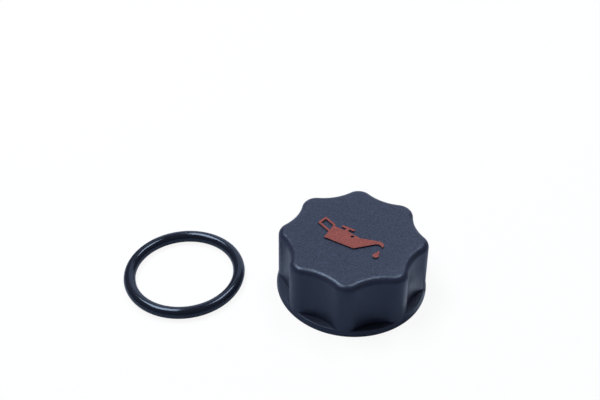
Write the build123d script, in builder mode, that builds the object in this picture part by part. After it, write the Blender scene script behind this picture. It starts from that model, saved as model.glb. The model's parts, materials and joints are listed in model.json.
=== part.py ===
from build123d import *
from math import acos, atan2, cos, degrees, radians, sin
import os

# Oil filler cap: a fluted screw cap moulded in one piece, the red foil on its raised oil-can mark,
# and its seal ring, which lies beside it as a loose piece.
# Millimetres, +Z up. The origin is on the cap's axis in the plane of its rim, and +X runs along the
# base line of the oil-can mark towards its spout.

# Seal ring, a round section of standard size
seal_bore = 42.0
seal_section = 5.0
seal_gap = 14.0  # between the cap's flange and the ring, where the ring lies
seal_direction = 208.6  # degrees from +X to the ring

# Inside of the cap: a bore for the neck's thread, and above it the seal's seat round a short spigot
seal_slack = 0.2  # radial room between the spigot and the seal's bore
seal_squeeze = 0.3  # by which the seat is narrower than the seal's section
seat_headroom = 0.2  # by which the seat is deeper than the seal's section
seat_lip = 0.5  # by which the bore is narrower than the seat, to keep the seal in
spigot_height = 4.0
spigot_wall = 1.8
top_thickness = 3.2
mouth_chamfer = 0.6

# Fluted grip
cap_height = 26.4
lobe_count = 8
flute_wall = 2.45  # between the seat and the foot of a flute
flute_depth = 3.6
flute_arc_radius = 20.0
grip_draft = 1.0  # degrees
top_edge_radius = 2.7

# Round flange at the foot of the grip, which leans in until the lobes' noses run out of it
flange_thickness = 2.6
flange_overhang = 0.45  # by which its foot stands out from the noses
flange_tuck = 0.35  # by which its top edge lies inside the noses
flange_strip = 0.2  # upright strip between its lower edge and the leaning part
flange_edge_radius = 0.35

# Pockets that core out the lobes from below
lobe_wall = 2.0
pocket_wall = 1.6  # between the seat and a pocket
pocket_corner = 0.4
pocket_roof = 3.5

# Raised oil-can mark on the top face, with its foil and the moulding gate near the cap's axis
mark_height = 0.5
foil_thickness = 0.1
gate_diameter = 1.4
gate_depth = 0.4
gate_middle = (0.35, -1.4)

mark_origin = (0.25, -0.5)  # of the mark's own lines, from the cap's axis
can_left = -9.95
can_heel = 3.7  # where the base ends and the spout's underside starts
can_base = -6.9
can_top = 1.0
can_shoulder = -2.6  # where the top edge starts to fall towards the spout
spout_root = (3.2, -0.15)
spout_crest = (10.9, 2.1)
spout_throat = (10.2, -0.3)
nozzle_inner = (13.2, -0.45)
nozzle_outer = (13.75, -0.4)
handle_bar = 1.0
handle_path = ((-9.3, 0.6), (-10.15, 2.0), (-15.15, 3.9), (-15.95, 0.05), (-9.4, -2.65))
knob_middle = -3.75
knob_length = 6.1
knob_bar = 1.1
knob_rise = 1.85  # from the can's top edge to the middle of the bar
knob_stem = 1.5
drop_tip = (13.45, -2.85)
drop_middle = (13.4, -6.1)
drop_radius = 1.25

# Radii that follow from the seal outwards, and the heights and distance that follow from them
spigot_radius = seal_bore / 2 - seal_slack
seat_radius = spigot_radius + seal_section - seal_squeeze
bore_radius = seat_radius - seat_lip
flute_root_radius = seat_radius + flute_wall
grip_radius = flute_root_radius + flute_depth
flange_radius = grip_radius + flange_overhang
flange_top_radius = grip_radius - flange_tuck
flange_lean_foot = flange_edge_radius + flange_strip
ceiling = cap_height - top_thickness
seat_foot = ceiling - seal_section - seat_headroom
seal_distance = flange_radius + seal_gap + seal_bore / 2 + seal_section

# Lobes whose round noses run tangent into the flutes on both sides
lobe_pitch = 360 / lobe_count
flute_centre_radius = flute_root_radius + flute_arc_radius
across = flute_centre_radius * sin(radians(lobe_pitch / 2))
along = flute_centre_radius * cos(radians(lobe_pitch / 2)) - grip_radius
nose_radius = (along**2 + across**2 - flute_arc_radius**2) / (2 * (flute_arc_radius - along))
nose_half_sweep = degrees(atan2(across, along + nose_radius))
flute_half_sweep = nose_half_sweep - lobe_pitch / 2


def polar(radius, angle):
    """Point at a radius and an angle in degrees."""
    return (radius * cos(radians(angle)), radius * sin(radians(angle)))


def grip_outline(height):
    """Face inside the lobes and flutes at a height, with a flute on +X."""
    with BuildSketch(Plane.XY.offset(height)) as outline:
        with BuildLine():
            for lobe in range(lobe_count):
                flute_angle = lobe * lobe_pitch
                nose_angle = flute_angle + lobe_pitch / 2
                CenterArc(
                    polar(flute_centre_radius, flute_angle),
                    flute_arc_radius,
                    flute_angle + 180 + flute_half_sweep,
                    -2 * flute_half_sweep,
                )
                CenterArc(
                    polar(grip_radius - nose_radius, nose_angle),
                    nose_radius,
                    nose_angle - nose_half_sweep,
                    2 * nose_half_sweep,
                )
        make_face()
    return outline.sketch


def oil_mark_outline(height):
    """Oil can with handle, filler knob and bent spout, and the drop below its nozzle."""
    underside = (spout_throat[0] - can_heel, spout_throat[1] - can_base)
    spout_rise = (spout_crest[0] - spout_root[0], spout_crest[1] - spout_root[1])
    drop_axis = Vector(*drop_tip) - Vector(*drop_middle)
    drop_angle = degrees(atan2(drop_axis.Y, drop_axis.X))
    drop_shoulder = degrees(acos(drop_radius / drop_axis.length))
    with BuildSketch(Plane((*mark_origin, height))) as outline:
        with BuildLine():
            Polyline((can_left, can_top), (can_left, can_base), (can_heel, can_base), spout_throat)
            TangentArc(spout_throat, nozzle_inner, tangent=underside)
            Line(nozzle_inner, nozzle_outer)
            TangentArc(spout_crest, nozzle_outer, tangent=spout_rise)
            Polyline(spout_crest, spout_root, (can_shoulder, can_top), (can_left, can_top))
        make_face()
        with BuildLine():
            Polyline(*handle_path)
        trace(line_width=handle_bar)
        with Locations((knob_middle, can_top + knob_rise)):
            SlotOverall(knob_length, knob_bar)
        with Locations((knob_middle, can_top)):
            Rectangle(knob_stem, knob_rise, align=(Align.CENTER, Align.MIN))
        with BuildLine():
            belly = CenterArc(drop_middle, drop_radius, drop_angle + drop_shoulder, 360 - 2 * drop_shoulder)
            Polyline(belly @ 1, drop_tip, belly @ 0)
        make_face()
    return outline.sketch


# Cap: flange, drafted grip, bore with the seal's seat and spigot, lobe pockets, raised mark and gate
with BuildPart() as cap_body:
    with BuildSketch(Plane.XZ) as flange_section:
        with BuildLine():
            Polyline(
                (0, 0),
                (flange_radius, 0),
                (flange_radius, flange_lean_foot),
                (flange_top_radius, flange_thickness),
                (0, flange_thickness),
                close=True,
            )
        make_face()
        fillet(flange_section.vertices().sort_by(Axis.X)[2:], flange_edge_radius)
    revolve(axis=Axis.Z)

    extrude(grip_outline(flange_lean_foot), amount=cap_height - flange_lean_foot, taper=grip_draft)
    fillet(cap_body.faces().sort_by(Axis.Z)[-1].edges(), top_edge_radius)

    with BuildSketch():
        Circle(bore_radius)
    extrude(amount=seat_foot, mode=Mode.SUBTRACT)
    mouth_edge = cap_body.edges().filter_by(GeomType.CIRCLE).group_by(Axis.Z)[0].sort_by(SortBy.RADIUS)[0]
    chamfer(mouth_edge, mouth_chamfer)
    with BuildSketch(Plane.XY.offset(seat_foot)):
        Circle(seat_radius)
    extrude(amount=ceiling - seat_foot, mode=Mode.SUBTRACT)

    with BuildSketch(Plane.XY.offset(ceiling)):
        Circle(spigot_radius)
        Circle(spigot_radius - spigot_wall, mode=Mode.SUBTRACT)
    extrude(amount=-spigot_height)

    with BuildSketch() as lobe_pockets:
        add(grip_outline(0))
        offset(amount=-lobe_wall, mode=Mode.REPLACE)
        Circle(seat_radius + pocket_wall, mode=Mode.SUBTRACT)
        fillet(lobe_pockets.vertices(), pocket_corner)
    extrude(amount=cap_height - pocket_roof, mode=Mode.SUBTRACT)

    extrude(oil_mark_outline(cap_height), amount=mark_height)
    with Locations((*gate_middle, cap_height + mark_height)):
        Hole(gate_diameter / 2, gate_depth)

# Red foil stamped on the top of the mark
with BuildPart() as oil_mark:
    extrude(oil_mark_outline(cap_height + mark_height), amount=foil_thickness)
    with Locations((*gate_middle, cap_height + mark_height + foil_thickness)):
        Hole(gate_diameter / 2)

# Seal ring lying on the same surface as the cap's rim
with BuildPart() as seal_ring:
    with Locations((*polar(seal_distance, seal_direction), seal_section / 2)):
        Torus((seal_bore + seal_section) / 2, seal_section / 2)

cap_body.part.label = "cap_body"
oil_mark.part.label = "oil_mark"
seal_ring.part.label = "seal_ring"

os.makedirs("parts", exist_ok=True)
export_step(cap_body.part, "parts/cap_body.step")
export_step(oil_mark.part, "parts/oil_mark.step")
export_step(seal_ring.part, "parts/seal_ring.step")
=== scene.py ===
import json
import math

import bmesh
import bpy
from bpy.props import (
    FloatProperty,
    FloatVectorProperty,
    IntProperty,
    PointerProperty,
)
from mathutils import Matrix, Vector


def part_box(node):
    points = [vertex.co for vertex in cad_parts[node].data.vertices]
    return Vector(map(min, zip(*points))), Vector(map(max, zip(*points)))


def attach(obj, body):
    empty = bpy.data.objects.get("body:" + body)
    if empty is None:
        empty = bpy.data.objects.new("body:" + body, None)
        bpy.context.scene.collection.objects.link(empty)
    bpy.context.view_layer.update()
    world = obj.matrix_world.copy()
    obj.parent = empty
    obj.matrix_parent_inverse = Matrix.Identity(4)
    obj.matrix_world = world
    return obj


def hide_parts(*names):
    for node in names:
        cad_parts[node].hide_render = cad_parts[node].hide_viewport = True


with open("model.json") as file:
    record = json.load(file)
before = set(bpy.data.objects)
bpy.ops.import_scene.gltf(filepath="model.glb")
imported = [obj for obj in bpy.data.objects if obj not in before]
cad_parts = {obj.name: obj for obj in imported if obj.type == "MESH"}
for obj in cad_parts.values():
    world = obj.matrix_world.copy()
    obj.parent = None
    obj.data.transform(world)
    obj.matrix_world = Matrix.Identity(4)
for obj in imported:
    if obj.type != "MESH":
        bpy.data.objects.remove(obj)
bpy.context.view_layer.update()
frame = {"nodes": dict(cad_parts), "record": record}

bl_info = {
    "name": "Oil Filler Cap",
    "version": (1, 0, 0),
    "blender": (4, 5, 0),
    "location": "View3D > Sidebar > Oil Cap",
    "description": "Fluted oil filler cap with its foil mark and its loose seal ring",
    "category": "Object",
}

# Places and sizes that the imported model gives, in metres
CAP_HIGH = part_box("cap_body")[1]
FOIL_LOW, FOIL_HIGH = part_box("oil_mark")
SEAL_LOW, SEAL_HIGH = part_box("seal_ring")
NECK_THREAD = next(m for m in frame["record"]["mounts"] if m["name"] == "neck_thread")
MM = 0.001
BORE = NECK_THREAD["dims"]["r_mm"] * MM
WELD = 0.001 * MM  # points that are nearer to each other than this are one
SHARP_EDGE = math.radians(35)  # an edge that turns by more than this stays sharp
FILM_WIDTH = 36  # of the camera, in millimetres
WHITE = (1, 1, 1, 1)
PLASTIC = "grained_plastic"

# A corner of the cap's profile lies on the lobed grip, on a circle, or on the rim, where the two meet
ON_GRIP, ON_CIRCLE, ON_RIM = 0, 1, 2


# Sizes and colours that a user would change


def length(name, description, default):
    """A length in metres, shown with its unit."""
    return FloatProperty(name=name, description=description, default=default, unit="LENGTH", precision=5)


def angle(name, description, degrees):
    """An angle, given in degrees and kept in radians."""
    return FloatProperty(
        name=name, description=description, default=math.radians(degrees), subtype="ANGLE"
    )


def number(name, description, default):
    """A plain number."""
    return FloatProperty(name=name, description=description, default=default, precision=4)


def span(name, description, default):
    """Two lengths in metres: to the viewer's right and away from the viewer, or from one to another."""
    return FloatVectorProperty(
        name=name, description=description, default=default, size=2, unit="LENGTH", precision=4
    )


def colour(name, description, default):
    """A linear colour."""
    return FloatVectorProperty(
        name=name, description=description, default=default, subtype="COLOR", min=0, max=1
    )


class OilCapGripSizes(bpy.types.PropertyGroup):
    """Outside of the cap"""

    lobes: IntProperty(name="Lobes", description="Lobes round the grip", default=8, min=3)
    mark_height: length("Mark height", "Height of the raised mark above the top face", 0.5 * MM)
    mark_edge: length("Mark edge", "Bevel along the raised mark's edge", 0.02 * MM)
    foil_edge: length("Foil edge", "Bevel along the foil's edge", 0.03 * MM)
    flute_root: length("Flute root", "Radius at the foot of a flute", 27.95 * MM)
    flute_depth: length("Flute depth", "From a flute's foot out to a lobe's nose", 3.6 * MM)
    flute_arc: length("Flute arc", "Radius of a flute's own arc", 20.0 * MM)
    draft: angle("Draft", "Slope of the grip's wall", 1.0)
    top_edge: length("Top edge", "Radius round the top face", 2.7 * MM)
    flange_thickness: length("Flange thickness", "Height of the round flange", 2.6 * MM)
    flange_top: length("Flange top", "Radius of the flange's top edge, inside the lobes' noses", 31.2 * MM)
    flange_strip: length("Flange strip", "Upright strip below the flange's leaning part", 0.2 * MM)
    flange_edge: length("Flange edge", "Radius on the flange's rim", 0.35 * MM)


class OilCapInsideSizes(bpy.types.PropertyGroup):
    """Inside of the cap"""

    mouth_chamfer: length("Mouth chamfer", "Chamfer at the bore's mouth", 0.6 * MM)
    seat_radius: length("Seat radius", "Radius of the seal's seat", 25.5 * MM)
    seat_foot: length("Seat foot", "Height where the seat starts", 18.0 * MM)
    ceiling: length("Ceiling", "Height of the inside's ceiling", 23.2 * MM)
    spigot_radius: length("Spigot radius", "Outside radius of the spigot", 20.8 * MM)
    spigot_wall: length("Spigot wall", "Thickness of the spigot", 1.8 * MM)
    spigot_height: length("Spigot height", "From the ceiling down to the spigot's end", 4.0 * MM)
    spigot_edge: length("Spigot edge", "Radius on the spigot's end", 0.3 * MM)
    lobe_wall: length("Lobe wall", "Wall left round a lobe's pocket", 2.0 * MM)
    pocket_wall: length("Pocket wall", "Wall left between the seat and a pocket", 1.6 * MM)
    pocket_roof: length("Pocket roof", "From the top face down to a pocket's end", 3.5 * MM)
    pocket_tip: length("Pocket tip", "Width at a pocket's blunt ends", 0.35 * MM)
    thread_pitch: length("Thread pitch", "Rise of the thread in one turn", 5.0 * MM)
    thread_height: length("Thread height", "How far the thread stands in from the bore", 1.3 * MM)
    thread_crest: length("Thread crest", "Flat at the thread's crest", 0.9 * MM)
    thread_root: length("Thread root", "Width of the thread at the bore", 2.4 * MM)
    thread_start: length("Thread start", "Height of the thread's lower end", 3.2 * MM)
    thread_turns: number("Thread turns", "Turns of the thread", 2.4)
    thread_run_out: number("Run-out", "Share of the thread that fades out at each end", 0.06)


class OilCapSealSizes(bpy.types.PropertyGroup):
    """Seal ring"""

    flash_height: length("Flash height", "How far the mould's parting line stands out", 0.035 * MM)
    flash_width: angle("Flash width", "Half width of the parting line, round the section", 3.0)


class OilCapFinish(bpy.types.PropertyGroup):
    """Colours and grain"""

    plastic: colour("Plastic", "Moulded plastic of the cap", (0.0235, 0.0275, 0.052))
    plastic_roughness: number("Plastic roughness", "Mean roughness of the plastic", 0.34)
    plastic_gloss: number("Plastic gloss", "Level of the plastic's gloss", 0.55)
    grain: length("Grain", "Size of the mould's spark-eroded grain", 0.8 * MM)
    grain_depth: length("Grain depth", "Depth of that grain", 0.07 * MM)
    plastic_patches: length("Plastic patches", "Size of the plastic's paler patches", 14.4 * MM)
    # Specks on the top face only: partly dust, partly painted glints where the grain catches the light
    dust_and_glints: number("Dust", "How strongly fine dust shows on the top face", 1.4)
    dust_and_glint_size: length("Dust size", "Size of the specks of that dust", 0.32 * MM)
    dust_and_glint_reach: length("Dust reach", "How far below the mark's top the dust ends", 1.2 * MM)
    dust_and_glint_fade: length("Dust fade", "Height over which the dust fades in from there", 0.6 * MM)
    foil: colour("Foil", "Red foil on the mark", (0.2835, 0.0656, 0.0478))
    foil_patches: length("Foil patches", "Size of the foil's paler patches", 5.6 * MM)
    foil_roughness: number("Foil roughness", "Mean roughness of the foil", 0.46)
    foil_gloss: number("Foil gloss", "Level of the foil's gloss", 0.36)
    rubber: colour("Rubber", "Rubber of the seal ring", (0.0125, 0.0148, 0.026))
    rubber_roughness: number("Rubber roughness", "Mean roughness of the rubber", 0.13)
    rubber_gloss: number("Rubber gloss", "Level of the rubber's gloss", 0.5)
    rubber_patches: length("Rubber patches", "Size of the rubber's hazy patches", 9 * MM)
    pores: length("Pores", "Size of the rubber's pores", 0.8 * MM)
    pore_depth: length("Pore depth", "Depth of those pores", 0.004 * MM)
    gloss_tint: colour("Gloss tint", "Cool tint of the gloss", (0.66, 0.79, 1.0))


class OilCapStage(bpy.types.PropertyGroup):
    """Camera, lamps and floor"""

    view_turn: angle("View turn", "Turn of the view about the cap's axis", 31.04)
    camera_right: length("Camera right", "Camera's place, to the right", -21.87 * MM)
    camera_back: length("Camera back", "Camera's place, away from the viewer", -262.2 * MM)
    camera_up: length("Camera up", "Camera's height", 262.4 * MM)
    camera_pitch: angle("Camera pitch", "How far the camera looks down", 39.6)
    camera_roll: angle("Camera roll", "Roll of the camera", -0.28)
    lens: number("Lens", "Focal length in millimetres on a 36 mm frame", 51.36)
    lamp_height: length("Lamp height", "Height of the softboxes", 1.0)
    lamp_colour: colour("Lamp colour", "Cool white of the lamps", (0.87, 0.94, 1.0))
    left_lamp: number("Left lamp", "Power of the left softbox in watts", 9.6)
    left_place: span("Left place", "Place of the left softbox", (-0.43, 0.215))
    left_size: span("Left size", "Width and depth of the left softbox", (0.43, 0.67))
    right_lamp: number("Right lamp", "Power of the right softbox in watts", 4.5)
    right_place: span("Right place", "Place of the right softbox", (0.29, 0.37))
    right_size: span("Right size", "Width and depth of the right softbox", (0.29, 0.53))
    under_lamp: number("Under lamp", "Power in watts of the lamp that lights the inside from below", 0.15)
    under_height: length("Under height", "Height of that lamp", -0.12)
    under_size: span("Under size", "Width and depth of that lamp", (0.05, 0.05))
    room: number("Room", "Strength of the dim room round the table", 0.09)
    paper: colour("Paper", "Floor and backdrop as they light the object", (0.448, 0.505, 0.625))
    floor_sides: span("Floor sides", "From the floor's left edge to its right edge", (-8.0, 8.0))
    floor_reach: span("Floor reach", "From the floor's near edge to where the backdrop starts", (-8.0, 1.0))
    floor_glow: number("Floor glow", "Share of plain white in what shows of the floor", 0.9)
    floor_mirror: number("Floor mirror", "Share of plain paper in what reflects the floor", 0.05)
    backdrop_sides: span("Backdrop sides", "From the backdrop's left edge to its right edge", (-0.55, 1.25))
    backdrop_bend: length("Backdrop bend", "Radius between the floor and the backdrop", 0.5)
    backdrop_rise: length("Backdrop rise", "Height of the backdrop above the bend", 1.2)
    backdrop_glow: number("Backdrop glow", "Share of plain white in what shows of the backdrop", 1.0)
    backdrop_mirror: number("Backdrop mirror", "Share of plain paper in what reflects the backdrop", 1.0)
    # A glowing patch on the floor by the cap: it paints a bright reflection on the grip's right side and is
    # no lamp
    reflection_patch_sides: span("Card sides", "From the left to the right edge of the card by the cap", (0.028, 0.042))
    reflection_patch_reach: span("Card reach", "From that card's near edge to its far edge", (-0.024, -0.0065))
    reflection_patch_mirror: number("Card mirror", "Share of plain paper in what reflects that card", 1.0)


class OilCapSettings(bpy.types.PropertyGroup):
    """All settings of the oil cap"""

    grip: PointerProperty(type=OilCapGripSizes, name="Grip", description="Outside of the cap")
    inside: PointerProperty(type=OilCapInsideSizes, name="Inside", description="Inside of the cap")
    seal: PointerProperty(type=OilCapSealSizes, name="Seal", description="Seal ring")
    finish: PointerProperty(type=OilCapFinish, name="Finish", description="Colours and grain")
    stage: PointerProperty(type=OilCapStage, name="Stage", description="Camera, lamps and floor")


# Node trees


class Value:
    """A node's output that takes part in Python arithmetic: each operator adds a Math node."""

    def __init__(self, sheet, socket):
        self.sheet = sheet
        self.socket = socket

    def math(self, operation, *others):
        """A Math node of that operation on this value and others."""
        return self.sheet.add("ShaderNodeMath", {"operation": operation}, (self, *others))

    def __add__(self, other):
        return self.math("ADD", other)

    __radd__ = __add__

    def __sub__(self, other):
        return self.math("SUBTRACT", other)

    def __rsub__(self, other):
        return self.sheet.add("ShaderNodeMath", {"operation": "SUBTRACT"}, (other, self))

    def __mul__(self, other):
        return self.math("MULTIPLY", other)

    __rmul__ = __mul__

    def __truediv__(self, other):
        return self.math("DIVIDE", other)

    def __rtruediv__(self, other):
        return self.sheet.add("ShaderNodeMath", {"operation": "DIVIDE"}, (other, self))

    def __pow__(self, other):
        return self.math("POWER", other)

    def __abs__(self):
        return self.math("ABSOLUTE")

    def __lt__(self, other):
        return self.math("LESS_THAN", other)

    def __gt__(self, other):
        return self.math("GREATER_THAN", other)

    def at_least(self, other):
        """The larger of two."""
        return self.math("MAXIMUM", other)

    def at_most(self, other):
        """The smaller of two."""
        return self.math("MINIMUM", other)


class Sheet:
    """Adds nodes to one shader or geometry tree."""

    def __init__(self, tree):
        self.tree = tree

    def add(self, kind, settings=None, inputs=(), out=None):
        """Adds one node: its settings first, then its sockets by name or in order, and gives an output."""
        node = self.tree.nodes.new(kind)
        for name, setting in (settings or {}).items():
            setattr(node, name, setting)
        pairs = inputs.items() if isinstance(inputs, dict) else enumerate(inputs)
        for key, value in pairs:
            socket = node.inputs[key] if isinstance(key, int) else self._open(node.inputs, key)
            if isinstance(value, Value):
                self.tree.links.new(value.socket, socket)
            else:
                socket.default_value = value
        shown = [socket for socket in node.outputs if socket.enabled]
        if not shown:
            return None
        return Value(self, self._open(node.outputs, out) if out else shown[0])

    @staticmethod
    def _open(sockets, name):
        """The socket of that name that the node's settings leave in use."""
        return next(socket for socket in sockets if socket.name == name and socket.enabled)

    def split(self, vector, axes):
        """A vector's coordinates along some axes."""
        return [self.add("ShaderNodeSeparateXYZ", None, (vector,), axis) for axis in axes]


class GeometrySheet(Sheet):
    """A Geometry Nodes tree with named inputs."""

    KINDS = {int: "NodeSocketInt", float: "NodeSocketFloat"}

    def __init__(self, name, values, material):
        super().__init__(bpy.data.node_groups.new(name, "GeometryNodeTree"))
        self.values = dict(values, Material=material)
        interface = self.tree.interface
        interface.new_socket("Geometry", in_out="INPUT", socket_type="NodeSocketGeometry")
        interface.new_socket("Geometry", in_out="OUTPUT", socket_type="NodeSocketGeometry")
        for key, value in self.values.items():
            kind = self.KINDS.get(type(value), "NodeSocketMaterial")
            interface.new_socket(key, in_out="INPUT", socket_type=kind)
        self.group = self.tree.nodes.new("NodeGroupInput")

    def read(self, name):
        """A named input."""
        return Value(self, self.group.outputs[name])

    def position(self, geometry, x, y, z):
        """Puts every point of a geometry at x, y and z."""
        place = self.add("ShaderNodeCombineXYZ", None, (x, y, z))
        return self.add("GeometryNodeSetPosition", None, {"Geometry": geometry, "Position": place})

    def position_round(self, geometry, radius, turn, height):
        """Puts every point of a geometry at a radius and a turn about the cap's axis, and at a height."""
        return self.position(geometry, radius * turn.math("COSINE"), radius * turn.math("SINE"), height)

    def sweep(self, profile, component, columns):
        """A grid to be bent, with one row for each point of a profile and one column for each step.

        Gives the grid, each point's row and its share of the way through the columns, and the x and z
        that the profile has in that row."""
        rows = self.add(
            "GeometryNodeAttributeDomainSize",
            {"component": component},
            {"Geometry": profile},
            "Point Count",
        )
        grid = self.add("GeometryNodeMeshGrid", None, {"Vertices X": columns, "Vertices Y": rows})
        index = self.add("GeometryNodeInputIndex")
        row = index.math("MODULO", rows)
        share = (index / rows).math("FLOOR") / (columns - 1)
        at = self.add(
            "GeometryNodeSampleIndex",
            {"data_type": "FLOAT_VECTOR"},
            {"Geometry": profile, "Value": self.add("GeometryNodeInputPosition"), "Index": row},
        )
        return grid, row, share, *self.split(at, "XZ")

    def grow(self, name, base):
        """Runs the tree on a base mesh and keeps the result as the plain mesh of a new object."""
        piece = bpy.data.objects.new(name, base)
        bpy.context.scene.collection.objects.link(piece)
        modifier = piece.modifiers.new("shape", "NODES")
        modifier.node_group = self.tree
        for item in self.tree.interface.items_tree:
            if item.in_out == "INPUT" and item.name in self.values:
                modifier[item.identifier] = self.values[item.name]
        return bake(piece)

    def finish(self, geometry):
        """Realizes instances, sets the material and ends the tree."""
        whole = self.add("GeometryNodeRealizeInstances", None, {"Geometry": geometry})
        painted = self.add(
            "GeometryNodeSetMaterial", None, {"Geometry": whole, "Material": self.read("Material")}
        )
        self.add("NodeGroupOutput", None, {"Geometry": painted})


def bake(piece):
    """Turns what a piece's modifiers make into its own plain mesh."""
    bpy.context.view_layer.update()
    depsgraph = bpy.context.evaluated_depsgraph_get()
    mesh = bpy.data.meshes.new_from_object(piece.evaluated_get(depsgraph))
    piece.modifiers.clear()
    piece.data = mesh
    mesh.name = piece.name
    return piece


def smooth(piece):
    """Smooth shading that keeps sharp edges sharp and flat faces flat."""
    piece.data.shade_smooth()
    piece.data.set_sharp_from_angle(angle=SHARP_EDGE)
    weighted = piece.modifiers.new("flat_faces", "WEIGHTED_NORMAL")
    weighted.keep_sharp = True
    return bake(piece)


def dress(piece, slot, *nodes):
    """Lets a finished piece ride on the part and hides the CAD nodes that it stands for. Its slot is not
    used.
    """
    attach(piece, "root")
    if nodes:
        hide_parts(*nodes)


# Finishes


def new_finish(name):
    """An empty material, its sheet, and the place on the object that is being shaded."""
    material = bpy.data.materials.new(name)
    material.use_nodes = True
    material.node_tree.nodes.clear()
    sheet = Sheet(material.node_tree)
    return material, sheet, sheet.add("ShaderNodeTexCoord", out="Object")


def shade(sheet, finish, gloss, **sockets):
    """Ends a finish in one Principled shader with a cool gloss."""
    inputs = {name.replace("_", " "): value for name, value in sockets.items()}
    inputs["Specular IOR Level"] = gloss
    inputs["Specular Tint"] = (*finish.gloss_tint, 1)
    surface = sheet.add("ShaderNodeBsdfPrincipled", None, inputs)
    sheet.add("ShaderNodeOutputMaterial", None, {"Surface": surface})


def noise(sheet, place, size, detail=2.0):
    """Noise between 0 and 1 whose features have a size in metres."""
    return sheet.add(
        "ShaderNodeTexNoise", None, {"Vector": place, "Scale": 1 / size, "Detail": detail}, "Fac"
    )


def specks(sheet, place, size):
    """One random number between 0 and 1 for each speck of a size in metres."""
    cells = sheet.add("ShaderNodeTexVoronoi", None, {"Vector": place, "Scale": 1 / size}, "Color")
    return sheet.add("ShaderNodeSeparateColor", None, (cells,), "Red")


def swing(pattern, width):
    """A pattern between 0 and 1, turned into a change about zero of that width from end to end."""
    return (pattern - 0.5) * width


def relief(sheet, pattern, depth, strength=1.0):
    """A normal that follows a pattern of a depth in metres."""
    return sheet.add(
        "ShaderNodeBump", None, {"Strength": strength, "Distance": depth, "Height": pattern}
    )


def tint(sheet, base, strength):
    """A colour made lighter or darker by a value about 1."""
    return sheet.add(
        "ShaderNodeVectorMath", {"operation": "SCALE"}, {"Vector": tuple(base), "Scale": strength}
    )


def plastic_finish(finish):
    """Matt plastic with the fine grain of a spark-eroded mould, and on its top face fine light and dark
    specks: partly dust, partly painted glints of that grain.
    """
    if PLASTIC in bpy.data.materials:
        return bpy.data.materials[PLASTIC]
    material, sheet, place = new_finish(PLASTIC)
    grain = noise(sheet, place, finish.grain, detail=4.0)
    patches = noise(sheet, place, finish.plastic_patches)
    (height,) = sheet.split(place, "Z")
    # Painted glints and dust: random light and dark specks in the colour, kept to the top face where the
    # grain catches the light
    on_top = ((height - (CAP_HIGH.z - finish.dust_and_glint_reach)) / finish.dust_and_glint_fade).at_most(1.0).at_least(0.0)
    dust_and_glints = swing(specks(sheet, place, finish.dust_and_glint_size), finish.dust_and_glints) * on_top
    shade(
        sheet,
        finish,
        finish.plastic_gloss,
        Base_Color=tint(sheet, finish.plastic, 1 + swing(patches, width=0.14) + dust_and_glints),
        Roughness=finish.plastic_roughness + swing(grain, width=0.08) + swing(patches, width=0.04),
        Normal=relief(sheet, grain, finish.grain_depth),
    )
    return material


def foil_finish(finish):
    """Satin red foil, a little uneven, that takes the grain of the plastic below it."""
    material, sheet, place = new_finish("stamped_foil")
    grain = noise(sheet, place, finish.grain, detail=3.0)
    patches = noise(sheet, place, finish.foil_patches)
    speckle = specks(sheet, place, finish.dust_and_glint_size)
    tone = 1 + swing(patches, width=0.152) + swing(grain, width=0.114) + swing(speckle, width=0.629)
    shade(
        sheet,
        finish,
        finish.foil_gloss,
        Base_Color=tint(sheet, finish.foil, tone),
        Roughness=finish.foil_roughness + swing(grain, width=0.16),
        Normal=relief(sheet, grain, finish.grain_depth, strength=0.6),
    )
    return material


def rubber_finish(finish):
    """Smooth rubber, lightly glossy, with faint hazy patches."""
    material, sheet, place = new_finish("glossy_rubber")
    haze = noise(sheet, place, finish.rubber_patches, detail=4.0)
    pores = noise(sheet, place, finish.pores)
    shade(
        sheet,
        finish,
        finish.rubber_gloss,
        Base_Color=tint(sheet, finish.rubber, 1 + swing(haze, width=0.4)),
        Roughness=finish.rubber_roughness + swing(haze, width=0.1),
        Normal=relief(sheet, pores, finish.pore_depth, strength=0.2),
    )
    return material


# Shapes


def polyline(name, corners, **marks):
    """A mesh of points joined in a row, with one number per point for each mark."""
    mesh = bpy.data.meshes.new(name)
    links = [(k, k + 1) for k in range(len(corners) - 1)]
    mesh.from_pydata([(x, 0, z) for x, z in corners], links, [])
    for mark, numbers in marks.items():
        mesh.attributes.new(mark, "FLOAT", "POINT").data.foreach_set("value", numbers)
    return mesh


def nose_radius(grip):
    """Radius of a lobe's nose, which runs tangent into the flutes on both sides."""
    half_pitch = math.pi / grip.lobes
    reach = grip.flute_root + grip.flute_arc
    across = reach * math.sin(half_pitch)
    along = reach * math.cos(half_pitch) - grip.flute_root - grip.flute_depth
    return (along**2 + across**2 - grip.flute_arc**2) / (2 * (grip.flute_arc - along))


def lobed_radius(sheet, turn, inset):
    """Radius of the lobed outline at an angle from a flute's middle, drawn in by an inset.

    A flute is an arc about a point outside the cap and a nose an arc about one inside it. Drawing
    the outline in widens the first and narrows the second, and moves their joint."""
    half_pitch = math.pi / sheet.read("Lobes")
    share = turn / (2 * half_pitch) + 0.5
    from_flute = abs(share.math("FRACT") - 0.5) * 2 * half_pitch
    from_nose = half_pitch - from_flute
    flute_arc = sheet.read("Flute Arc")
    nose = sheet.read("Nose Radius")
    flute_centre = sheet.read("Flute Root") + flute_arc
    nose_centre = sheet.read("Flute Root") + sheet.read("Flute Depth") - nose
    wide = flute_arc + inset
    narrow = nose - inset
    flute_side = flute_centre * from_flute.math("SINE")
    nose_side = nose_centre * from_nose.math("SINE")
    on_flute = flute_centre * from_flute.math("COSINE") - (wide**2 - flute_side**2).math("SQRT")
    on_nose = nose_centre * from_nose.math("COSINE") + (narrow**2 - nose_side**2).math("SQRT")
    reach = wide / (flute_arc + nose)
    joint_x = flute_centre + (nose_centre * half_pitch.math("COSINE") - flute_centre) * reach
    joint_y = nose_centre * half_pitch.math("SINE") * reach
    past_joint = from_flute > joint_y.math("ARCTAN2", joint_x)
    return on_flute + (on_nose - on_flute) * past_joint


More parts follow.
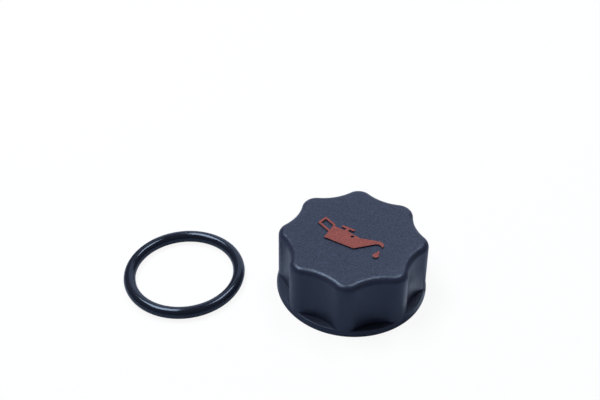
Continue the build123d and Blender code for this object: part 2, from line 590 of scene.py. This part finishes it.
def cap_profile(grip, inside, top):
    """Corners from the middle of the top, round the rim, to the middle of the ceiling.

    Along the grip a corner's reach is its inset from the lobed outline, elsewhere it is a radius.
    Along the rim the outline shows wherever it stands out further than that radius."""
    grip_foot = grip.flange_edge + grip.flange_strip
    lean = math.tan(grip.draft) * (top - grip_foot)
    foot_lean = math.tan(grip.draft) * (grip.flange_thickness - grip_foot)
    flange = CAP_HIGH.x
    rim_rows = 7
    rim = [
        (
            grip.flange_top + (flange - grip.flange_top) * row / rim_rows,
            grip.flange_thickness + (grip_foot - grip.flange_thickness) * row / rim_rows,
        )
        for row in range(1, rim_rows)
    ]
    spigot = inside.spigot_radius
    spigot_bore = spigot - inside.spigot_wall
    spigot_end = inside.ceiling - inside.spigot_height
    corners = (
        (0, top, ON_CIRCLE, 0),
        (lean + 2 * grip.top_edge, top, ON_GRIP, 0),
        (lean, top, ON_GRIP, grip.top_edge),
        (foot_lean, grip.flange_thickness, ON_GRIP, 0),
        (grip.flange_top, grip.flange_thickness, ON_RIM, grip.flange_edge),
        *((radius, height, ON_RIM, 0) for radius, height in rim),
        (flange, grip_foot, ON_RIM, grip.flange_edge),
        (flange, 0, ON_CIRCLE, grip.flange_edge),
        (BORE + inside.mouth_chamfer, 0, ON_CIRCLE, 0),
        (BORE, inside.mouth_chamfer, ON_CIRCLE, 0),
        (BORE, inside.seat_foot, ON_CIRCLE, 0),
        (inside.seat_radius, inside.seat_foot, ON_CIRCLE, 0),
        (inside.seat_radius, inside.ceiling, ON_CIRCLE, inside.spigot_edge),
        (spigot, inside.ceiling, ON_CIRCLE, inside.spigot_edge),
        (spigot, spigot_end, ON_CIRCLE, inside.spigot_edge),
        (spigot_bore, spigot_end, ON_CIRCLE, inside.spigot_edge),
        (spigot_bore, inside.ceiling, ON_CIRCLE, inside.spigot_edge),
        (0, inside.ceiling, ON_CIRCLE, 0),
    )
    reaches, heights, lies_on, edges = zip(*corners)
    return polyline("cap_profile", list(zip(reaches, heights)), lies_on=lies_on, edge_radius=edges)


def pocket_half_angle(grip, inside):
    """Half the angle of a lobe's pocket, to where its outer wall comes near its inner one."""
    inner = inside.seat_radius + inside.pocket_wall + inside.pocket_tip
    centre = grip.flute_root + grip.flute_arc
    wide = grip.flute_arc + inside.lobe_wall
    from_flute = math.acos((centre**2 + inner**2 - wide**2) / (2 * centre * inner))
    return math.pi / grip.lobes - from_flute


def build_cap(settings):
    """The cap's skin, swept from its profile round the lobed outline, with the pockets cut out."""
    grip, inside = settings.grip, settings.inside
    top = CAP_HIGH.z - grip.mark_height
    values = {
        "Lobes": grip.lobes,
        "Flute Root": grip.flute_root,
        "Flute Depth": grip.flute_depth,
        "Flute Arc": grip.flute_arc,
        "Nose Radius": nose_radius(grip),
        "Grip Foot": grip.flange_edge + grip.flange_strip,
        "Grip Slope": math.tan(grip.draft),
        "Steps Per Lobe": 56,
        "Edge Steps": 8,
        "Lobe Wall": inside.lobe_wall,
        "Pocket Inner Radius": inside.seat_radius + inside.pocket_wall,
        "Pocket Half Angle": pocket_half_angle(grip, inside),
        "Pocket Top": top - inside.pocket_roof,
        "Pocket Steps": 24,
    }
    sheet = GeometrySheet("fluted_cap", values, plastic_finish(settings.finish))
    skin = sweep_round(sheet)
    cutters = lobe_pockets(sheet)
    cut = sheet.add(
        "GeometryNodeMeshBoolean",
        {"operation": "DIFFERENCE", "solver": "EXACT"},
        {"Mesh 1": skin, "Mesh 2": cutters},
    )
    sheet.finish(cut)
    cap = smooth(sheet.grow("cap_shell", cap_profile(grip, inside, top)))
    dress(cap, "moulded_plastic", "cap_body")


def sweep_round(sheet):
    """A closed skin: one row of points per point of the rounded profile, one column per step round."""
    profile = sheet.add("GeometryNodeMeshToCurve", None, {"Mesh": sheet.read("Geometry")})
    edge_radius = sheet.add("GeometryNodeInputNamedAttribute", None, {"Name": "edge_radius"})
    rounded = sheet.add(
        "GeometryNodeFilletCurve",
        {"mode": "POLY"},
        {"Curve": profile, "Count": sheet.read("Edge Steps"), "Radius": edge_radius},
    )
    columns = sheet.read("Lobes") * sheet.read("Steps Per Lobe") + 1
    grid, row, share, reach, height = sheet.sweep(rounded, "CURVE", columns)
    turn = share * math.tau
    lies_on = sheet.add(
        "GeometryNodeSampleIndex",
        None,
        {
            "Geometry": rounded,
            "Value": sheet.add("GeometryNodeInputNamedAttribute", None, {"Name": "lies_on"}),
            "Index": row,
        },
    )
    off_grip, on_rim = lies_on > ON_CIRCLE - 0.5, lies_on > ON_RIM - 0.5
    foot_inset = (height - sheet.read("Grip Foot")) * sheet.read("Grip Slope")
    lobed = lobed_radius(sheet, turn, reach * (1 - off_grip) + foot_inset * on_rim)
    circle = reach + (lobed - reach).at_least(0.0) * on_rim
    radius = lobed + (circle - lobed) * off_grip
    skin = sheet.position_round(grid, radius, turn, height)
    closed = sheet.add("GeometryNodeMergeByDistance", None, {"Geometry": skin, "Distance": WELD})
    return sheet.add("GeometryNodeFlipFaces", None, {"Mesh": closed})


def lobe_pockets(sheet):
    """Cutters for the lobes' pockets: a bent block from the inner wall out to the lobe's own wall."""
    block = sheet.add("GeometryNodeMeshCube", None, {"Vertices X": sheet.read("Pocket Steps")})
    side, out, rise = sheet.split(sheet.add("GeometryNodeInputPosition"), "XYZ")
    half = 0.5  # of the block, a unit cube about the origin
    nose = math.pi / sheet.read("Lobes")
    turn = nose + 2 * side * sheet.read("Pocket Half Angle")
    inner = sheet.read("Pocket Inner Radius")
    radius = inner + (lobed_radius(sheet, turn, sheet.read("Lobe Wall")) - inner) * (out + half)
    below = 1 * MM
    height = (sheet.read("Pocket Top") + below) * (rise + half) - below
    bent = sheet.position_round(block, radius, turn, height)
    cutter = sheet.add("GeometryNodeFlipFaces", None, {"Mesh": bent})
    axis_points = sheet.add(
        "GeometryNodeMeshLine", None, {"Count": sheet.read("Lobes"), "Offset": (0, 0, 0)}
    )
    spin = sheet.add(
        "ShaderNodeCombineXYZ", None, {"Z": sheet.add("GeometryNodeInputIndex") * 2 * nose}
    )
    return sheet.add(
        "GeometryNodeInstanceOnPoints",
        None,
        {"Points": axis_points, "Instance": cutter, "Rotation": spin},
    )


def build_thread(settings):
    """The thread that the neck screws into: a ridge on a helix that fades out at both ends."""
    inside = settings.inside
    steps_per_turn = 160
    values = {
        "Bore": BORE,
        "Pitch": inside.thread_pitch,
        "Turns": inside.thread_turns,
        "Start": inside.thread_start,
        "Run-out": inside.thread_run_out,
        "Steps": int(inside.thread_turns * steps_per_turn),
    }
    sheet = GeometrySheet("neck_thread", values, plastic_finish(settings.finish))
    grid, _, along, stand, rise = sheet.sweep(sheet.read("Geometry"), "MESH", sheet.read("Steps"))
    from_end = along.at_most(1 - along) / sheet.read("Run-out")
    blend, thinnest = 0.1, 0.02
    swell = from_end.at_most(1.0).math("SMOOTH_MIN", 1.0, blend).at_least(thinnest)
    turn = along * sheet.read("Turns") * math.tau
    radius = sheet.read("Bore") - stand * swell
    height = sheet.read("Start") + along * sheet.read("Turns") * sheet.read("Pitch") + rise * swell
    sheet.finish(sheet.position_round(grid, radius, turn, height))
    half_root, half_crest = inside.thread_root / 2, inside.thread_crest / 2
    buried = -0.1 * MM
    section = (
        (buried, -half_root),
        (0, -half_root),
        (inside.thread_height, -half_crest),
        (inside.thread_height, half_crest),
        (0, half_root),
        (buried, half_root),
        (buried, -half_root),
    )
    thread = sheet.grow("neck_thread", polyline("thread_section", section))
    close_ends(thread.data)
    dress(smooth(thread), "moulded_plastic")


def close_ends(mesh):
    """Merges a swept skin's seam, closes its open ends and turns its faces outwards."""
    work = bmesh.new()
    work.from_mesh(mesh)
    bmesh.ops.remove_doubles(work, verts=work.verts, dist=WELD)
    bmesh.ops.holes_fill(work, edges=[edge for edge in work.edges if edge.is_boundary])
    bmesh.ops.recalc_face_normals(work, faces=work.faces)
    work.to_mesh(mesh)
    work.free()


def foil_faces():
    """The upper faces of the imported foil, as a bmesh."""
    work = bmesh.new()
    work.from_mesh(frame["nodes"]["oil_mark"].data)
    bmesh.ops.remove_doubles(work, verts=work.verts, dist=WELD)
    work.normal_update()
    nearly_level = 0.9
    others = [face for face in work.faces if face.normal.z < nearly_level]
    bmesh.ops.delete(work, geom=others, context="FACES")
    return work


def raise_plate(work, name, low, high, edge, material):
    """A plate of that outline between two heights, with its edges just broken."""
    for vert in work.verts:
        vert.co.z = low
    raised = bmesh.ops.extrude_face_region(work, geom=work.faces[:], use_keep_orig=True)["geom"]
    for vert in (item for item in raised if isinstance(item, bmesh.types.BMVert)):
        vert.co.z = high
    bmesh.ops.recalc_face_normals(work, faces=work.faces)
    mesh = bpy.data.meshes.new(name)
    work.to_mesh(mesh)
    work.free()
    mesh.materials.append(material)
    plate = bpy.data.objects.new(name, mesh)
    bpy.context.scene.collection.objects.link(plate)
    bevel = plate.modifiers.new("edge", "BEVEL")
    bevel.width = edge
    bevel.segments = 2
    bevel.limit_method = "ANGLE"
    bevel.use_clamp_overlap = True
    return smooth(bake(plate))


def build_raised_mark(settings):
    """The raised oil-can mark of the moulding, whose sides stay the colour of the cap."""
    grip = settings.grip
    top = CAP_HIGH.z - grip.mark_height
    material = plastic_finish(settings.finish)
    mark = raise_plate(foil_faces(), "raised_mark", top, FOIL_LOW.z, grip.mark_edge, material)
    dress(mark, "moulded_plastic")


def build_foil(settings):
    """The red foil on the top of the mark."""
    edge = settings.grip.foil_edge
    material = foil_finish(settings.finish)
    foil = raise_plate(foil_faces(), "red_foil", FOIL_LOW.z, FOIL_HIGH.z, edge, material)
    dress(foil, "red_foil", "oil_mark")


def build_seal(settings):
    """The seal ring: a round section swept on a circle, with the mould's faint parting line."""
    seal = settings.seal
    middle = (SEAL_LOW + SEAL_HIGH) / 2
    section = (SEAL_HIGH.z - SEAL_LOW.z) / 2
    values = {
        "Ring Radius": (SEAL_HIGH.x - SEAL_LOW.x) / 2 - section,
        "Section Radius": section,
        "Flash Height": seal.flash_height,
        "Flash Width": seal.flash_width,
        "Ring Steps": 240,
        "Section Steps": 96,
        "Middle X": middle.x,
        "Middle Y": middle.y,
        "Middle Z": middle.z,
    }
    sheet = GeometrySheet("seal_ring", values, rubber_finish(settings.finish))
    path = sheet.add(
        "GeometryNodeCurvePrimitiveCircle",
        None,
        {"Resolution": sheet.read("Ring Steps"), "Radius": sheet.read("Ring Radius")},
    )
    circle = sheet.add(
        "GeometryNodeCurvePrimitiveCircle",
        None,
        {"Resolution": sheet.read("Section Steps"), "Radius": sheet.read("Section Radius")},
    )
    x, y = sheet.split(sheet.add("GeometryNodeInputPosition"), "XY")
    off_line = abs(y).math("ARCTAN2", abs(x)) / sheet.read("Flash Width")
    flash = (1 - off_line).at_least(0.0) * sheet.read("Flash Height")
    grown = 1 + flash / sheet.read("Section Radius")
    section_line = sheet.position(circle, x * grown, y * grown, 0.0)
    tube = sheet.add(
        "GeometryNodeCurveToMesh", None, {"Curve": path, "Profile Curve": section_line}
    )
    offset = sheet.add(
        "ShaderNodeCombineXYZ", None, tuple(sheet.read(f"Middle {axis}") for axis in "XYZ")
    )
    placed = sheet.add("GeometryNodeTransform", None, {"Geometry": tube, "Translation": offset})
    sheet.finish(placed)
    ring = sheet.grow("seal_ring_rubber", bpy.data.meshes.new("empty"))
    ring.data.shade_smooth()
    dress(ring, "seal_rubber", "seal_ring")


# Stage


def in_view(stage, right, back, up):
    """A point given as the viewer sees it, turned into the part's frame."""
    return Matrix.Rotation(stage.view_turn, 3, "Z") @ Vector((right, back, up))


def build_camera(stage):
    """The camera at the photograph's viewing angle."""
    data = bpy.data.cameras.new("camera")
    data.lens = stage.lens
    data.sensor_width = FILM_WIDTH
    camera = bpy.data.objects.new("camera", data)
    bpy.context.scene.collection.objects.link(camera)
    turn = Matrix.Rotation(stage.view_turn, 4, "Z")
    tilt = Matrix.Rotation(math.pi / 2 - stage.camera_pitch, 4, "X")
    roll = Matrix.Rotation(stage.camera_roll, 4, "Z")
    place = in_view(stage, stage.camera_right, stage.camera_back, stage.camera_up)
    camera.matrix_world = Matrix.Translation(place) @ turn @ tilt @ roll
    bpy.context.scene.camera = camera


def build_lamp(stage, name, place, height, size, power):
    """A softbox that faces the floor from above or from below, at a place as the viewer sees it."""
    data = bpy.data.lights.new(name, "AREA")
    data.shape = "RECTANGLE"
    data.size, data.size_y = size
    data.energy = power
    data.color = stage.lamp_colour
    lamp = bpy.data.objects.new(name, data)
    bpy.context.scene.collection.objects.link(lamp)
    lamp.location = in_view(stage, *place, height)
    lamp.rotation_euler = (0 if height > 0 else math.pi, 0, stage.view_turn)
    lamp.visible_camera = False


def paper_finish(stage, name, glow, mirror):
    """Pale paper that shows white to the eye and keeps the shadow.

    It is clear from below and under the cap's mouth, so that the inside can be seen and lit from there."""
    material, sheet, place = new_finish(name)
    camera, glossy, transmission = (
        sheet.add("ShaderNodeLightPath", out=f"Is {kind} Ray")
        for kind in ("Camera", "Glossy", "Transmission")
    )
    dull = (*stage.paper, 1)
    bright = (*(part / max(stage.paper) for part in stage.paper), 1)
    hue, glow_hue = (
        sheet.add(
            "ShaderNodeMix", {"data_type": "RGBA"}, {"Factor": camera, "A": shown, "B": WHITE}, "Result"
        )
        for shown in (dull, bright)
    )
    paper = sheet.add("ShaderNodeBsdfDiffuse", None, {"Color": hue})
    light = sheet.add("ShaderNodeEmission", None, {"Color": glow_hue, "Strength": 1.0})
    seen = camera * glow + (glossy + transmission) * mirror
    front = sheet.add("ShaderNodeMixShader", None, (seen, paper, light))
    x, y = sheet.split(place, "XY")
    clear_radius = CAP_HIGH.x - 1 * MM
    under_cap = x * x + y * y < clear_radius**2
    below = sheet.add("ShaderNodeNewGeometry", out="Backfacing")
    clear = sheet.add("ShaderNodeBsdfTransparent")
    surface = sheet.add("ShaderNodeMixShader", None, (below.at_least(under_cap), front, clear))
    sheet.add("ShaderNodeOutputMaterial", None, {"Surface": surface})
    return material


def build_paper(stage, name, sides, profile, glow, mirror):
    """A sheet of paper between two sides, along a profile of points behind and above the object's foot."""
    verts = [in_view(stage, side, back, up) for back, up in profile for side in sides]
    faces = [(2 * k, 2 * k + 1, 2 * k + 3, 2 * k + 2) for k in range(len(profile) - 1)]
    mesh = bpy.data.meshes.new(name)
    mesh.from_pydata(verts, [], faces)
    mesh.shade_smooth()
    mesh.materials.append(paper_finish(stage, f"{name}_paper", glow, mirror))
    paper = bpy.data.objects.new(name, mesh)
    bpy.context.scene.collection.objects.link(paper)


def build_floor(stage):
    """A wide floor that sweeps up into a backdrop behind the object, and by the cap a glowing patch, lit by
    no lamp, that paints a bright reflection on the grip's right side.
    """
    floor_level, reflection_patch_level = -0.1 * MM, -0.05 * MM
    floor = [(back, floor_level) for back in stage.floor_reach]
    card = [(back, reflection_patch_level) for back in stage.reflection_patch_reach]
    foot, bend = stage.floor_reach[1], stage.backdrop_bend
    steps = 12
    turns = [math.pi / 2 * step / steps for step in range(steps + 1)]
    backdrop = [
        (foot + bend * math.sin(turn), floor_level + bend * (1 - math.cos(turn))) for turn in turns
    ]
    backdrop.append((foot + bend, floor_level + bend + stage.backdrop_rise))
    build_paper(stage, "floor", stage.floor_sides, floor, stage.floor_glow, stage.floor_mirror)
    build_paper(
        stage, "backdrop", stage.backdrop_sides, backdrop, stage.backdrop_glow, stage.backdrop_mirror
    )
    # Painted reflection: this patch looks like the floor to the eye but glows fully in reflections, to
    # light up the grip's right side
    build_paper(stage, "card", stage.reflection_patch_sides, card, stage.floor_glow, stage.reflection_patch_mirror)


def build_world(stage):
    """The room, dim to the object and plain white to the eye."""
    world = bpy.data.worlds.new("room")
    world.use_nodes = True
    world.node_tree.nodes.clear()
    sheet = Sheet(world.node_tree)
    camera = sheet.add("ShaderNodeLightPath", out="Is Camera Ray")
    strength = stage.room + (1 - stage.room) * camera
    background = sheet.add("ShaderNodeBackground", None, {"Color": WHITE, "Strength": strength})
    sheet.add("ShaderNodeOutputWorld", None, {"Surface": background})
    bpy.context.scene.world = world


# Operators


class OILCAP_OT_cap(bpy.types.Operator):
    """Add the fluted cap and the thread inside it"""

    bl_idname = "oilcap.cap"
    bl_label = "Cap"

    def execute(self, context):
        build_cap(context.scene.oil_cap)
        build_thread(context.scene.oil_cap)
        return {"FINISHED"}


class OILCAP_OT_mark(bpy.types.Operator):
    """Add the raised oil-can mark and its red foil"""

    bl_idname = "oilcap.mark"
    bl_label = "Oil-can mark"

    def execute(self, context):
        build_raised_mark(context.scene.oil_cap)
        build_foil(context.scene.oil_cap)
        return {"FINISHED"}


class OILCAP_OT_seal(bpy.types.Operator):
    """Add the seal ring"""

    bl_idname = "oilcap.seal"
    bl_label = "Seal ring"

    def execute(self, context):
        build_seal(context.scene.oil_cap)
        return {"FINISHED"}


class OILCAP_OT_stage(bpy.types.Operator):
    """Add the camera, the softboxes, the floor and the room"""

    bl_idname = "oilcap.stage"
    bl_label = "Stage"

    def execute(self, context):
        stage = context.scene.oil_cap.stage
        build_camera(stage)
        up, down = stage.lamp_height, stage.under_height
        build_lamp(stage, "left_softbox", stage.left_place, up, stage.left_size, stage.left_lamp)
        build_lamp(stage, "right_softbox", stage.right_place, up, stage.right_size, stage.right_lamp)
        build_lamp(stage, "under_lamp", (0, 0), down, stage.under_size, stage.under_lamp)
        build_floor(stage)
        build_world(stage)
        context.scene.view_settings.view_transform = "Standard"
        return {"FINISHED"}


class OILCAP_PT_panel(bpy.types.Panel):
    """Lists the pieces and their settings"""

    bl_idname = "OILCAP_PT_panel"
    bl_label = "Oil Filler Cap"
    bl_space_type = "VIEW_3D"
    bl_region_type = "UI"
    bl_category = "Oil Cap"

    def draw(self, context):
        for operator in OPERATORS:
            self.layout.operator(operator.bl_idname)
        settings = context.scene.oil_cap
        for name in ("grip", "inside", "seal", "finish", "stage"):
            group = getattr(settings, name)
            box = self.layout.box()
            box.label(text=name.capitalize())
            for key in group.__annotations__:
                box.prop(group, key)


GROUPS = (OilCapGripSizes, OilCapInsideSizes, OilCapSealSizes, OilCapFinish, OilCapStage, OilCapSettings)
OPERATORS = (OILCAP_OT_cap, OILCAP_OT_mark, OILCAP_OT_seal, OILCAP_OT_stage)
CLASSES = (*GROUPS, *OPERATORS, OILCAP_PT_panel)


def register():
    """Registers the classes and gives the scene its settings."""
    for cls in CLASSES:
        bpy.utils.register_class(cls)
    bpy.types.Scene.oil_cap = PointerProperty(type=OilCapSettings)


def unregister():
    """Takes the settings and the classes away again."""
    del bpy.types.Scene.oil_cap
    for cls in reversed(CLASSES):
        bpy.utils.unregister_class(cls)


def main():
    """Builds all pieces and the stage."""
    register()
    bpy.ops.oilcap.cap()
    bpy.ops.oilcap.mark()
    bpy.ops.oilcap.seal()
    bpy.ops.oilcap.stage()


if __name__ == "__main__":
    main()
